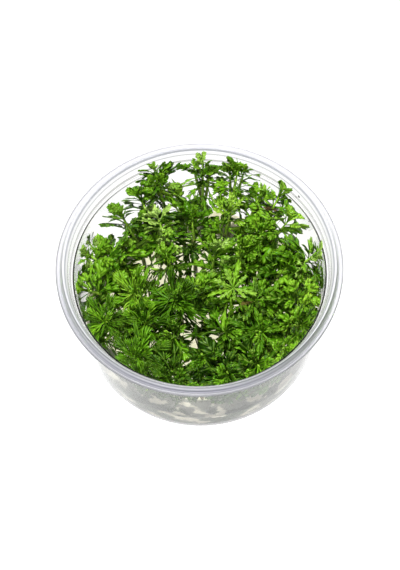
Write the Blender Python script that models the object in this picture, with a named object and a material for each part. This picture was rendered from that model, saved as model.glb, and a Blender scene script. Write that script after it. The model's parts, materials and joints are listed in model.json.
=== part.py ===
"""Asian ambulia grown in vitro: a round clear cup, a disc of nutrient gel in its foot, and a
dense stand of shoots rooted in the gel, each a stem with whorls of leaves.

The frame is +Z up, in metres. The origin is the middle of the cup's foot, on the surface
that it stands on. The side that the picture was taken from is -Y.
"""
import math
import random

import bmesh
import bpy
from mathutils import Vector
from mathutils.bvhtree import BVHTree

# The cup, a thin moulded tub with a stepped rim for a snap-on lid
RIM_RADIUS = 0.0525
RIM_HEIGHT = 0.0520
CREST_RADIUS = 0.0498
CREST_RISE = 0.0015
LEDGE_RADIUS = 0.0474
LEDGE_DROP = 0.0047
WALL_TOP_RADIUS = 0.0469
WALL_TOP_HEIGHT = 0.0460
WALL_FOOT_RADIUS = 0.0448
FOOT_CORNER = 0.0090
WALL = 0.0007
CUP_SIDES = 40
CORNER_STEPS = 3

# The gel, poured to about a quarter of the cup's depth
GEL_TOP = 0.0130
GEL_CHAMFER = 0.0006

# The gap that is kept between neighbours, and the room over the gel and under the lid
GAP = 0.0003
LEAF_FLOOR = 0.0150
LEAF_CEILING = 0.0532

# The stems: four-sided, thinner at the tip, planted in a blind pocket of the gel
STEM_FOOT_RADIUS = 0.0011
STEM_TIP_RADIUS = 0.0008
ROOT_DEPTH = 0.0055
NECK_HEIGHT = 0.0030
ROOT_PULL = 0.74
BOW_SHARE = 0.62

# The whorls: four leaves to each, turned by an eighth of a turn from one to the next
WHORL_SPACING = 0.0068
WHORL_BAND = 0.0013
WHORL_RISE = (math.radians(36), math.radians(20), math.radians(4))
LEAF_LENGTH = 0.0098
LEAF_WIDEST = 0.58
LEAF_HALF_WIDTH = 0.0017
LEAF_HALF_THICKNESS = 0.00028
LEAF_DIP = 0.10
LEAF_TURNS = (0, 14, -14, 28, -28)
LEAF_TILTS = (0, 12, -14)
LEAF_SHARES = (1.0, 0.86, 0.72, 0.58, 0.45)
OWN_ROOT_SHARE = 0.35

# The growing tip of each shoot, from the back of the cup to the front
SHOOT_TIPS = (
    (0.0026, 0.0420, 0.0490), (-0.0152, 0.0402, 0.0485), (0.0160, 0.0399, 0.0485),
    (0.0310, 0.0298, 0.0480), (-0.0213, 0.0330, 0.0440), (-0.0075, 0.0355, 0.0420),
    (0.0235, 0.0330, 0.0420), (-0.0288, 0.0243, 0.0470), (0.0338, 0.0207, 0.0450),
    (-0.0150, 0.0236, 0.0450), (-0.0021, 0.0257, 0.0420), (0.0125, 0.0265, 0.0450),
    (0.0250, 0.0190, 0.0420), (-0.0417, 0.0107, 0.0430), (-0.0330, 0.0140, 0.0380),
    (-0.0124, 0.0103, 0.0400), (0.0060, 0.0096, 0.0430), (0.0172, 0.0120, 0.0410),
    (0.0425, 0.0064, 0.0430), (0.0335, 0.0040, 0.0390), (-0.0249, -0.0048, 0.0400),
    (-0.0416, -0.0029, 0.0400), (-0.0100, -0.0076, 0.0380), (0.0010, -0.0045, 0.0390),
    (0.0124, -0.0067, 0.0440), (0.0248, -0.0106, 0.0390), (0.0378, -0.0093, 0.0400),
    (-0.0356, -0.0164, 0.0400), (-0.0208, -0.0160, 0.0360), (-0.0108, -0.0216, 0.0340),
    (0.0092, -0.0205, 0.0360), (0.0220, -0.0231, 0.0400), (0.0370, -0.0210, 0.0410),
    (-0.0240, -0.0310, 0.0390), (-0.0002, -0.0318, 0.0390), (0.0300, -0.0300, 0.0400),
    (-0.0125, -0.0378, 0.0370), (0.0095, -0.0382, 0.0370), (0.0208, -0.0355, 0.0375),
)


def clear_scene():
    for item in list(bpy.data.objects):
        bpy.data.objects.remove(item, do_unlink=True)


def material(name, colour, roughness, alpha=1.0):
    """A Principled material; none of the object's stuffs is a metal."""
    made = bpy.data.materials.new(name)
    made.use_nodes = True
    shader = made.node_tree.nodes["Principled BSDF"]
    shader.inputs["Base Color"].default_value = (*colour, 1.0)
    shader.inputs["Roughness"].default_value = roughness
    shader.inputs["Metallic"].default_value = 0.0
    shader.inputs["Alpha"].default_value = alpha
    made.diffuse_color = (*colour, alpha)
    return made


def add_object(name, shape, finish, smooth_angle=None):
    """Turn a bmesh into an object, shaded smooth up to an angle if one is given."""
    mesh = bpy.data.meshes.new(name)
    bmesh.ops.recalc_face_normals(shape, faces=shape.faces)
    shape.to_mesh(mesh)
    shape.free()
    mesh.materials.append(finish)
    if smooth_angle is not None:
        mesh.shade_smooth()
        mesh.set_sharp_from_angle(angle=math.radians(smooth_angle))
    item = bpy.data.objects.new(name, mesh)
    bpy.context.scene.collection.objects.link(item)
    return item


def turned(profile, sides):
    """A closed turned body; the profile starts and ends on the axis."""
    shape = bmesh.new()
    rings = []
    for radius, height in profile[1:-1]:
        ring = []
        for step in range(sides):
            turn = math.tau * step / sides
            ring.append(shape.verts.new((radius * math.cos(turn), radius * math.sin(turn), height)))
        rings.append(ring)
    for low, high in zip(rings, rings[1:]):
        for step in range(sides):
            after = (step + 1) % sides
            shape.faces.new((low[step], low[after], high[after], high[step]))
    for ring, height in ((rings[0], profile[0][1]), (rings[-1], profile[-1][1])):
        pole = shape.verts.new((0.0, 0.0, height))
        for step in range(sides):
            shape.faces.new((pole, ring[step], ring[(step + 1) % sides]))
    return shape


def wall_lean():
    """The angle by which the wall opens out from foot to rim."""
    return math.atan2(WALL_TOP_RADIUS - WALL_FOOT_RADIUS, WALL_TOP_HEIGHT)


def corner_centre():
    """The radius at which the foot's rounded corner is centred, so that it meets the wall."""
    lean = wall_lean()
    return WALL_FOOT_RADIUS - FOOT_CORNER * (1 - math.sin(lean)) / math.cos(lean)


def corner_arc(inset):
    """The rounded corner between foot and wall, moved into the cup by an inset."""
    middle = corner_centre()
    sweep = math.pi / 2 - wall_lean()
    for step in range(CORNER_STEPS + 1):
        turn = -math.pi / 2 + sweep * step / CORNER_STEPS
        reach = FOOT_CORNER - inset
        yield (middle + reach * math.cos(turn), FOOT_CORNER + reach * math.sin(turn))


def inner_radius(height):
    """The radius of the cup's inside at a height above its foot."""
    if height >= RIM_HEIGHT - LEDGE_DROP:
        return LEDGE_RADIUS
    outside = WALL_FOOT_RADIUS + height * math.tan(wall_lean())
    return outside - WALL / math.cos(wall_lean())


def make_cup():
    """Foot, rounded corner and wall, then the ledge, the crest and the flange with its lip."""
    ledge = RIM_HEIGHT - LEDGE_DROP
    outside = [(0.0, 0.0), *corner_arc(0.0)]
    rim = [
        (WALL_TOP_RADIUS, WALL_TOP_HEIGHT),
        (LEDGE_RADIUS + WALL, ledge - 0.0004),
        (CREST_RADIUS - 0.0006, RIM_HEIGHT - 0.0008),
        (RIM_RADIUS - 0.0004, RIM_HEIGHT - 0.0011),
        (RIM_RADIUS, RIM_HEIGHT - 0.0003),
        (RIM_RADIUS - 0.0004, RIM_HEIGHT + 0.0002),
        (RIM_RADIUS - 0.0014, RIM_HEIGHT - 0.0001),
        (CREST_RADIUS + 0.0005, RIM_HEIGHT + CREST_RISE - 0.0004),
        (CREST_RADIUS, RIM_HEIGHT + CREST_RISE),
        (CREST_RADIUS - 0.0005, RIM_HEIGHT + CREST_RISE - 0.0005),
        (LEDGE_RADIUS + 0.0008, RIM_HEIGHT - CREST_RISE / 2),
        (LEDGE_RADIUS, ledge),
        (inner_radius(ledge - 0.0004), ledge - 0.0004),
    ]
    inside = [*reversed(list(corner_arc(WALL))), (0.0, WALL)]
    finish = material("clear_plastic", (0.86, 0.88, 0.90), 0.08, 0.35)
    return add_object("cup", turned([*outside, *rim, *inside], CUP_SIDES), finish, 40)


def make_gel(pockets):
    """A disc that fills the foot, with a blind pocket where each stem is planted."""
    wall_radius = inner_radius(GEL_TOP) - GAP
    profile = [(0.0, WALL + GAP), *corner_arc(WALL + GAP)]
    profile += [(wall_radius, GEL_TOP - GEL_CHAMFER), (wall_radius - GEL_CHAMFER, GEL_TOP)]
    profile.append((0.0, GEL_TOP))
    finish = material("nutrient_gel", (0.80, 0.76, 0.66), 0.25, 0.6)
    gel = add_object("agar_gel", turned(profile, CUP_SIDES), finish, 40)

    cutter_shape = bmesh.new()
    for corners in pockets:
        low = [cutter_shape.verts.new(corner) for corner in corners]
        high = [cutter_shape.verts.new((*corner[:2], GEL_TOP + NECK_HEIGHT)) for corner in corners]
        cutter_shape.faces.new(low)
        cutter_shape.faces.new(high)
        for step in range(len(corners)):
            after = (step + 1) % len(corners)
            cutter_shape.faces.new((low[step], low[after], high[after], high[step]))
    cutter = add_object("pocket_cutter", cutter_shape, finish)
    cutter.hide_render = True
    cutter.display_type = "WIRE"
    cut = gel.modifiers.new("Pockets", "BOOLEAN")
    cut.operation = "DIFFERENCE"
    cut.object = cutter
    return gel


class Stem:
    """One shoot's stem: straight up out of the gel, then bowing out to its growing tip."""

    def __init__(self, tip, chance):
        self.tip = Vector(tip)
        self.foot = Vector((tip[0] * ROOT_PULL, tip[1] * ROOT_PULL, GEL_TOP - ROOT_DEPTH))
        self.neck = Vector((self.foot.x, self.foot.y, GEL_TOP + NECK_HEIGHT))
        bow_height = self.neck.z + (self.tip.z - self.neck.z) * BOW_SHARE
        self.bow = Vector((self.neck.x, self.neck.y, bow_height))
        self.turn = chance.uniform(0.0, math.pi / 2)

    def point(self, share):
        """A place on the bowed stretch, from 0 at the neck to 1 at the tip."""
        rest = 1.0 - share
        return self.neck * rest * rest + self.bow * 2 * rest * share + self.tip * share * share

    def heading(self, share):
        along = (self.bow - self.neck) * (1.0 - share) + (self.tip - self.bow) * share
        return along.normalized()

    def share_below_tip(self, drop):
        """The share of the bowed stretch that lies a length below the tip."""
        share = 1.0
        step = 0.02
        travelled = 0.0
        while travelled < drop and share > step:
            travelled += (self.point(share) - self.point(share - step)).length
            share -= step
        return share

    def ring(self, centre, along, radius, turn):
        """Four corners round the stem; turn is where the first one stands."""
        east = Vector((0.0, 1.0, 0.0)).cross(along).normalized()
        north = along.cross(east)
        corners = []
        for step in range(4):
            angle = self.turn + turn + step * math.pi / 2
            corners.append(centre + (east * math.cos(angle) + north * math.sin(angle)) * radius)
        return corners

    def radius(self, share):
        return STEM_FOOT_RADIUS + (STEM_TIP_RADIUS - STEM_FOOT_RADIUS) * share

    def rings(self):
        """The stem's rings from foot to tip, and the number of the ring under each whorl."""
        upward = Vector((0.0, 0.0, 1.0))
        made = [self.ring(self.foot, upward, STEM_FOOT_RADIUS, 0.0),
                self.ring(self.neck, upward, STEM_FOOT_RADIUS, 0.0)]
        starts = []
        for number in reversed(range(len(WHORL_RISE))):
            drop = number * WHORL_SPACING
            turn = number * math.pi / 4
            starts.append(len(made))
            for place in (drop + WHORL_BAND, drop):
                share = self.share_below_tip(place) if place else 1.0
                made.append(self.ring(self.point(share), self.heading(share),
                                      self.radius(share), turn))
        return made, starts

    def pocket(self):
        """The corners of the hole in the gel, a gap wider and deeper than the stem's foot."""
        upward = Vector((0.0, 0.0, 1.0))
        floor = self.foot - upward * GAP
        return self.ring(floor, upward, STEM_FOOT_RADIUS + GAP * math.sqrt(2), 0.0)


def leaf_corners(low, high, rise, length, turn, spare=0.0):
    """The blade that leaves a stem's side: its widest place and its tip.

    low and high are the side's lower and upper pair of corners, rise its angle above the
    side's normal, turn a swing about the stem, and spare is added on all sides.
    """
    middle = (low[0] + low[1] + high[0] + high[1]) / 4
    along = ((high[0] + high[1]) - (low[0] + low[1])).normalized()
    across = (low[1] - low[0]).normalized()
    outward = across.cross(along).normalized()
    heading = outward * math.cos(rise) + along * math.sin(rise)
    heading = heading * math.cos(turn) + across * math.sin(turn)
    flat = (across - heading * across.dot(heading)).normalized()
    upper = heading.cross(flat).normalized()
    if upper.dot(along) < 0:
        upper.negate()
    belly = middle + heading * length * LEAF_WIDEST
    tip = middle + heading * (length + spare) - Vector((0.0, 0.0, length * LEAF_DIP))
    width = flat * (LEAF_HALF_WIDTH * min(1.0, length / LEAF_LENGTH + 0.15) + spare)
    depth = upper * (LEAF_HALF_THICKNESS + spare)
    ring = [belly - width - depth, belly + width - depth,
            belly + width + depth, belly - width + depth]
    return ring, tip


BLADE_FACES = ((0, 1, 5, 4), (1, 2, 6, 5), (2, 3, 7, 6), (3, 0, 4, 7),
               (4, 5, 8), (5, 6, 8), (6, 7, 8), (7, 4, 8), (3, 2, 1, 0))


def blade_tree(root, ring, tip, start=0.0):
    """A blade as a search tree, from a share of the way between its root and widest place."""
    near = [corner.lerp(far, start) for corner, far in zip(root, ring)]
    return BVHTree.FromPolygons([*near, *ring, tip], BLADE_FACES)


def inside_cup(points):
    """Whether a blade stays off the wall, over the gel and under the lid."""
    for place in points:
        reach = math.hypot(place.x, place.y)
        if reach > inner_radius(place.z) - 2 * GAP:
            return False
        if not LEAF_FLOOR < place.z < LEAF_CEILING:
            return False
    return True


def stem_tree(rings):
    corners = [corner for ring in rings for corner in ring]
    faces = []
    for level in range(len(rings) - 1):
        for step in range(4):
            after = (step + 1) % 4
            low, high = level * 4, level * 4 + 4
            faces.append((low + step, low + after, high + after, high + step))
    return BVHTree.FromPolygons(corners, faces)


def has_room(root, ring, tip, shoot, stems, blades):
    """Whether a blade clears the cup, the other shoots and its own shoot's other blades."""
    if not inside_cup([*ring, tip]):
        return False
    whole = blade_tree(root, ring, tip)
    if any(whole.overlap(stem) for owner, stem in enumerate(stems) if owner != shoot):
        return False
    outer = blade_tree(root, ring, tip, OWN_ROOT_SHARE)
    for owner, middle, blade in blades:
        if (middle - ring[0]).length < 2 * LEAF_LENGTH:
            if (outer if owner == shoot else whole).overlap(blade):
                return False
    return not outer.overlap(stems[shoot])


def grow_leaves(all_rings, all_starts):
    """Find room for each whorl's leaves, the uppermost whorls first.

    Each leaf takes the longest blade and the least swing and tilt that clears its
    neighbours; a side with no room stays bare.
    """
    stems = [stem_tree(rings) for rings in all_rings]
    blades = []
    leaves = [{} for _ in all_rings]
    tries = [(share, turn, tilt) for share in LEAF_SHARES
             for tilt in LEAF_TILTS for turn in LEAF_TURNS]
    for number, rise in enumerate(WHORL_RISE):
        for shoot, (rings, starts) in enumerate(zip(all_rings, all_starts)):
            start = starts[len(WHORL_RISE) - 1 - number]
            for side in range(4):
                after = (side + 1) % 4
                low = (rings[start][side], rings[start][after])
                high = (rings[start + 1][side], rings[start + 1][after])
                root = [*low, high[1], high[0]]
                for share, turn, tilt in tries:
                    shape = (rise + math.radians(tilt), LEAF_LENGTH * share, math.radians(turn))
                    probe = leaf_corners(low, high, *shape, spare=GAP)
                    if has_room(root, *probe, shoot, stems, blades):
                        ring, tip = leaf_corners(low, high, *shape)
                        blades.append((shoot, ring[0], blade_tree(root, ring, tip)))
                        leaves[shoot][(start, side)] = (ring, tip)
                        break
    return leaves


def make_shoot(name, rings, leaves, finish):
    """The stem's sides and ends, with each leaf drawn out of the side that it grows from."""
    shape = bmesh.new()
    levels = [[shape.verts.new(corner) for corner in ring] for ring in rings]
    shape.faces.new(levels[0])
    shape.faces.new(levels[-1])
    for level in range(len(levels) - 1):
        for side in range(4):
            after = (side + 1) % 4
            root = [levels[level][side], levels[level][after],
                    levels[level + 1][after], levels[level + 1][side]]
            if (level, side) not in leaves:
                shape.faces.new(root)
                continue
            ring, tip = leaves[(level, side)]
            belly = [shape.verts.new(corner) for corner in ring]
            end = shape.verts.new(tip)
            for step in range(4):
                following = (step + 1) % 4
                shape.faces.new((root[step], root[following], belly[following], belly[step]))
                shape.faces.new((belly[step], belly[following], end))
    return add_object(name, shape, finish)


def make_shoots():
    chance = random.Random(7)
    stems = [Stem(tip, chance) for tip in SHOOT_TIPS]
    all_rings, all_starts = zip(*(stem.rings() for stem in stems))
    leaves = grow_leaves(all_rings, all_starts)
    greens = [
        material("leaf_fresh_green", (0.14, 0.42, 0.03), 0.42),
        material("leaf_mid_green", (0.07, 0.28, 0.02), 0.42),
        material("leaf_deep_green", (0.035, 0.17, 0.015), 0.45),
    ]
    for number, (rings, grown) in enumerate(zip(all_rings, leaves), start=1):
        make_shoot(f"shoot_{number:02d}", rings, grown, greens[number % len(greens)])
    return [stem.pocket() for stem in stems]


clear_scene()
make_cup()
make_gel(make_shoots())
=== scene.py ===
"""A round clear cup of Asian ambulia grown in vitro: the open cup, the milky nutrient gel in its
foot, and 39 shoots that stand in the gel and fill the cup up to its rim.

Metres, +Z up; the origin is the middle of the cup's foot, and the viewer stands at -Y.
"""
import json
import math
import random

import bmesh
import bpy
from mathutils import Matrix, Vector

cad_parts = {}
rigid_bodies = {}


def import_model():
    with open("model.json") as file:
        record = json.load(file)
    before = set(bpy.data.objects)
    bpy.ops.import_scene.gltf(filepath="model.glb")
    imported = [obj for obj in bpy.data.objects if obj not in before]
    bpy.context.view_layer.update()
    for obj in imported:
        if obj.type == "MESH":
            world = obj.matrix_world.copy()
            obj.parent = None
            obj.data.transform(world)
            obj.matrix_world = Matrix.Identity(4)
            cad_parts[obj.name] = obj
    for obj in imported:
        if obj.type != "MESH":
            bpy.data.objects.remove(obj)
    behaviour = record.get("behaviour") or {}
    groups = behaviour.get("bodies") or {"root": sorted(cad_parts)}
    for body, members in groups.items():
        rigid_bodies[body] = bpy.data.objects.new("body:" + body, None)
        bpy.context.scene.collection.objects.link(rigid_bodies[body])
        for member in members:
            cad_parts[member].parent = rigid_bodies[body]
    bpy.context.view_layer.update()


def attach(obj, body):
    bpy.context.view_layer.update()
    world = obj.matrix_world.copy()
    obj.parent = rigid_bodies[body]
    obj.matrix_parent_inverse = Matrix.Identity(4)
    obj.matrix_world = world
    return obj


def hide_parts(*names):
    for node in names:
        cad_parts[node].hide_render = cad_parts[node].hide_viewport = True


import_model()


# The view. The cup stands on a white table and is looked down on from the front; the picture
# is turned a little anticlockwise. The camera aims at a point on the cup's axis.
RIM_HEIGHT = 0.0520
AIM = Vector((0.0, 0.0, RIM_HEIGHT - 0.01663))
VIEW_DISTANCE = 0.525
VIEW_RISE = math.radians(62.26)
VIEW_ROLL = math.radians(1.96)
LENS = 88.46

away = Vector((0.0, -math.cos(VIEW_RISE), math.sin(VIEW_RISE)))
level = Vector((1.0, 0.0, 0.0))
upright = away.cross(level)
right = level * math.cos(VIEW_ROLL) - upright * math.sin(VIEW_ROLL)
up = level * math.sin(VIEW_ROLL) + upright * math.cos(VIEW_ROLL)
camera_data = bpy.data.cameras.new("camera")
camera_data.lens = LENS
camera = bpy.data.objects.new("camera", camera_data)
place = AIM + away * VIEW_DISTANCE
camera.matrix_world = Matrix((
    (right.x, up.x, away.x, place.x),
    (right.y, up.y, away.y, place.y),
    (right.z, up.z, away.z, place.z),
    (0.0, 0.0, 0.0, 1.0),
))
bpy.context.scene.collection.objects.link(camera)
bpy.context.scene.camera = camera
bpy.context.scene.view_settings.view_transform = "Standard"


# The table and the light. The cup stands on a white sheet that is lit from below as well, so that
# no shadow shows on it. A soft lamp hangs over the cup and a weaker one shines in from the front,
# in a room that is greyer all round.
TABLE_HALF = 3.0
TABLE_DROP = 0.0001
SHEET_GLOW = 1.12
GLOW_FADES_FROM = 0.24
GLOW_FADES_OVER = 0.50
SHEET_COLOURS = ((0.05, 0.05, 0.05, 1.0), (0.07, 0.07, 0.07, 1.0))
GLOW_COLOURS = ((1.0, 1.0, 1.0, 1.0), (0.10, 0.10, 0.12, 1.0))
ROOM_BRIGHTNESS = 0.40
ROOM_TONES = ((0.50, (0.10, 0.10, 0.13)), (0.62, (0.26, 0.26, 0.30)), (0.80, (0.70, 0.70, 0.74)),
              (1.00, (1.0, 1.0, 1.0)))
# Each lamp's name, its place, its size and its power
LAMPS = (("high_lamp", Vector((-0.06, 0.10, 0.90)), 0.12, 14.5),
         ("front_lamp", Vector((-0.06, -0.40, 0.76)), 0.30, 3.0))


class Socket:
    """A node's output that sums can be written on; each operator adds its Math node."""

    def __init__(self, nodes, made, output):
        self.nodes = nodes
        self.made = made
        self.output = output

    def __getitem__(self, name):
        return Socket(self.nodes, self.made, named(self.made.outputs, name))

    def math(self, operation, *others):
        values = dict(enumerate((self, *others)))
        return self.nodes.add("ShaderNodeMath", {"operation": operation}, values)

    def held(self, most=1.0):
        """The value held between 0 and a limit."""
        return self.math("MAXIMUM", 0.0).math("MINIMUM", most)

    def turned_math(self, operation, other):
        return self.nodes.add("ShaderNodeMath", {"operation": operation}, {0: other, 1: self})

    def __add__(self, other):
        return self.math("ADD", other)

    def __radd__(self, other):
        return self.turned_math("ADD", other)

    def __sub__(self, other):
        return self.math("SUBTRACT", other)

    def __rsub__(self, other):
        return self.turned_math("SUBTRACT", other)

    def __mul__(self, other):
        return self.math("MULTIPLY", other)

    def __rmul__(self, other):
        return self.turned_math("MULTIPLY", other)

    def __truediv__(self, other):
        return self.math("DIVIDE", other)

    def __pow__(self, other):
        return self.math("POWER", other)


def named(sockets, key):
    """A socket by its number, its identifier or its name."""
    if isinstance(key, int):
        return sockets[key]
    for socket in sockets:
        if socket.identifier == key:
            return socket
    return sockets[key]


class Nodes:
    """A material's or a geometry's tree, in which any node comes from add."""

    def __init__(self, tree):
        self.tree = tree

    def add(self, kind, settings=None, values=None, output=0):
        made = self.tree.nodes.new(kind)
        for name, value in (settings or {}).items():
            if name == "stops":
                ramp = made.color_ramp.elements
                while len(ramp) < len(value):
                    ramp.new(0.5)
                for stop, (position, colour) in zip(ramp, value):
                    stop.position = position
                    stop.color = (*colour, 1.0)
            else:
                setattr(made, name, value)
        self.feed(made, values or {})
        return Socket(self, made, named(made.outputs, output)) if made.outputs else made

    def feed(self, made, values):
        for key, value in values.items():
            socket = named(made.inputs, key)
            if isinstance(value, Socket):
                self.tree.links.new(value.output, socket)
            else:
                socket.default_value = value

    def mix(self, factor, low, high):
        """One colour blended into another by a factor."""
        values = {"Factor_Float": factor, "A_Color": low, "B_Color": high}
        return self.add("ShaderNodeMix", {"data_type": "RGBA"}, values, "Result_Color")

    def noise(self, place, scale, detail=2.0):
        return self.add("ShaderNodeTexNoise", None,
                        {"Vector": place, "Scale": scale, "Detail": detail}, "Fac")


def new_material(name, **values):
    """A Principled material with its plain values set, as its nodes and its shader."""
    made = bpy.data.materials.new(name)
    made.use_nodes = True
    nodes = Nodes(made.node_tree)
    shader = made.node_tree.nodes["Principled BSDF"]
    nodes.feed(shader, {key.replace("_", " ").title().replace("Ior", "IOR"): value
                        for key, value in values.items()})
    return made, nodes, shader


def new_object(name, mesh, finish=None):
    """An object at the origin, with its place in its mesh."""
    if finish:
        mesh.materials.clear()
        mesh.materials.append(finish)
    item = bpy.data.objects.new(name, mesh)
    bpy.context.scene.collection.objects.link(item)
    return item


table_finish, nodes, shader = new_material("white_sheet", roughness=0.9,
                                           emission_strength=SHEET_GLOW)
place = nodes.add("ShaderNodeTexCoord", output="Object")
off = nodes.add("ShaderNodeVectorMath", {"operation": "LENGTH"}, {0: place}, "Value")
fade = ((off - GLOW_FADES_FROM) / GLOW_FADES_OVER).held()
nodes.feed(shader, {
    "Base Color": nodes.mix(nodes.noise(place, 6.0), *SHEET_COLOURS),
    "Emission Color": nodes.mix(fade, *GLOW_COLOURS),
})
table_mesh = bpy.data.meshes.new("table")
corners = [(-TABLE_HALF, -TABLE_HALF, 0.0), (TABLE_HALF, -TABLE_HALF, 0.0),
           (TABLE_HALF, TABLE_HALF, 0.0), (-TABLE_HALF, TABLE_HALF, 0.0)]
table_mesh.from_pydata(corners, [], [(0, 1, 2, 3)])
table = new_object("table", table_mesh, table_finish)
table.location.z = -TABLE_DROP

world = bpy.data.worlds.new("room")
world.use_nodes = True
nodes = Nodes(world.node_tree)
toward = nodes.add("ShaderNodeTexCoord", output="Generated")
height = nodes.add("ShaderNodeSeparateXYZ", None, {0: toward}, "Z")
tone = nodes.add("ShaderNodeValToRGB", {"stops": ROOM_TONES}, {0: height * 0.5 + 0.5}, "Color")
nodes.feed(world.node_tree.nodes["Background"], {"Color": tone, "Strength": ROOM_BRIGHTNESS})
bpy.context.scene.world = world

for name, place, size, power in LAMPS:
    lamp_data = bpy.data.lights.new(name, "AREA")
    lamp_data.energy = power
    lamp_data.size = size
    lamp = bpy.data.objects.new(name, lamp_data)
    lamp.location = place
    lamp.rotation_euler = (place - AIM).to_track_quat("Z", "Y").to_euler()
    bpy.context.scene.collection.objects.link(lamp)


# The cup: one thin moulding of clear plastic. It is turned from a profile that follows the
# rounded foot corner, the wall that opens a little, and the stepped rim that a lid snaps on.
RIM_RADIUS = 0.0525
CREST_RADIUS = 0.0498
CREST_RISE = 0.0015
LEDGE_RADIUS = 0.0474
LEDGE_HEIGHT = RIM_HEIGHT - 0.0047
WALL_TOP_RADIUS = 0.0469
WALL_TOP_HEIGHT = 0.0460
WALL_FOOT_RADIUS = 0.0448
FOOT_CORNER = 0.0090
WALL = 0.0007
CUP_SIDES = 192
CORNER_STEPS = 10
WALL_RINGS = (0.020, 0.033)
SHARP_FROM = math.radians(50)
PLASTIC_DENSITY = 80.0
PLASTIC_DIMMING = (0.32, 0.34, 0.37, 1.0)
CLEAR_COLOUR = (0.96, 0.96, 0.95, 1.0)
# The plastic's painted shade: a little darker low on the wall at the front, dark on the foot's
# corner, and the plain colour of the painted shade layer
LOW_SHADE_COLOUR = (0.93, 0.93, 0.915, 1.0)
FOOT_SHADE_COLOUR = (0.14, 0.14, 0.13, 1.0)
PLAIN_SHADE_COLOUR = (0.20, 0.20, 0.19, 1.0)
RIM_FROST = 0.34
FROST_FROM = 0.0498
FROST_FADE = 0.0012
# Tones across the rim from its inner edge (0) to its lip (1), painted lines and painted shade for
# the darker room reflected and refracted in it: of the plastic, then of the painted shade over it
RIM_BANDS_FROM = 0.0480
RIM_PAINTED_LINES = ((0.00, (0.90, 0.90, 0.90)), (0.14, (0.86, 0.86, 0.88)), (0.20, (0.17, 0.18, 0.20)),
             (0.26, (0.24, 0.25, 0.28)), (0.31, (0.94, 0.94, 1.00)), (0.38, (0.96, 0.96, 1.00)),
             (0.44, (0.64, 0.64, 0.72)), (0.49, (0.98, 0.98, 1.00)), (0.54, (0.94, 0.94, 0.97)),
             (0.59, (0.96, 0.96, 1.00)), (0.66, (0.90, 0.90, 0.94)), (0.71, (0.66, 0.66, 0.70)),
             (0.75, (0.80, 0.80, 0.84)), (0.94, (0.80, 0.80, 0.84)), (1.00, (0.50, 0.50, 0.55)))
FRONT_PAINTED_SHADE = ((0.00, (0.10, 0.10, 0.11)), (0.06, (0.10, 0.10, 0.11)),
               (0.09, (0.46, 0.46, 0.48)), (0.34, (0.46, 0.46, 0.48)), (0.39, (0.05, 0.05, 0.07)),
               (0.43, (0.10, 0.10, 0.12)), (0.51, (0.50, 0.50, 0.53)), (0.55, (0.42, 0.42, 0.46)),
               (0.59, (0.17, 0.17, 0.21)), (0.63, (0.22, 0.22, 0.26)), (0.66, (0.38, 0.38, 0.43)),
               (0.70, (0.05, 0.05, 0.07)), (0.75, (0.05, 0.05, 0.06)), (0.81, (0.20, 0.20, 0.22)),
               (0.90, (0.12, 0.12, 0.13)), (1.00, (0.29, 0.29, 0.29)))
# How much painted shade lies over the plastic: on the rim all round, more on its front, on the
# ledge's lines, on the foot's corner and low on the wall at the front
RIM_SHADE_PAINT = 0.06
FRONT_SHADE_PAINT = 0.80
LEDGE_SHADE_PAINT = 0.60
LEDGE_FADE = 0.0005
FOOT_SHADE_PAINT = 0.66
FOOT_SHADE = 0.0080
FOOT_FADE = 0.0036
WALL_SHADE_PAINT = 0.02
WALL_SHADE = 0.0440
WALL_FADE = 0.0120
# The painted shade on the foot's corner and on the lower wall ends at this radius, under the foot
SHADE_FROM = 0.0385
SHADE_FADE = 0.0020
# The share of painted shade on the cup's middle line, and how it grows forwards and falls to the
# right
FRONT_IN_MIDDLE = 0.06
FRONT_BY_DEPTH = 19
FRONT_BY_RIGHT = 11
# The radius of each thin line of painted shade round the ledge's edges, and half of its width
LEDGE_LINES = ((LEDGE_RADIUS + 0.0008, 0.00011), (LEDGE_RADIUS, 0.00025),
               (WALL_TOP_RADIUS - WALL, 0.00028))
WALL_LEAN = math.atan2(WALL_TOP_RADIUS - WALL_FOOT_RADIUS, WALL_TOP_HEIGHT)
CORNER_MIDDLE = (WALL_FOOT_RADIUS
                 - FOOT_CORNER * (1 - math.sin(WALL_LEAN)) / math.cos(WALL_LEAN))
# The rings of the rim's profile that come before its lip, and those from its ledge on
RINGS_BELOW_LIP = 9
RINGS_BELOW_LEDGE = 10


def corner_arc(inset, steps):
    """The rounded corner between foot and wall, moved into the cup by an inset."""
    sweep = math.pi / 2 - WALL_LEAN
    for step in range(steps + 1):
        turn = -math.pi / 2 + sweep * step / steps
        reach = FOOT_CORNER - inset
        yield (CORNER_MIDDLE + reach * math.cos(turn), FOOT_CORNER + reach * math.sin(turn))


def wall_radius(height, inset):
    """The radius of the wall at a height, moved into the cup by an inset."""
    return WALL_FOOT_RADIUS + height * math.tan(WALL_LEAN) - inset / math.cos(WALL_LEAN)


def rounded(points, steps=3, share=0.32):
    """A profile with each of its inner points turned into a small curve."""
    yield points[0]
    for before, point, after in zip(points, points[1:], points[2:]):
        enter = Vector(point).lerp(Vector(before), share)
        leave = Vector(point).lerp(Vector(after), share)
        for step in range(steps + 1):
            part = step / steps
            first = enter.lerp(Vector(point), part)
            yield tuple(first.lerp(Vector(point).lerp(leave, part), part))
    yield points[-1]


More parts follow.
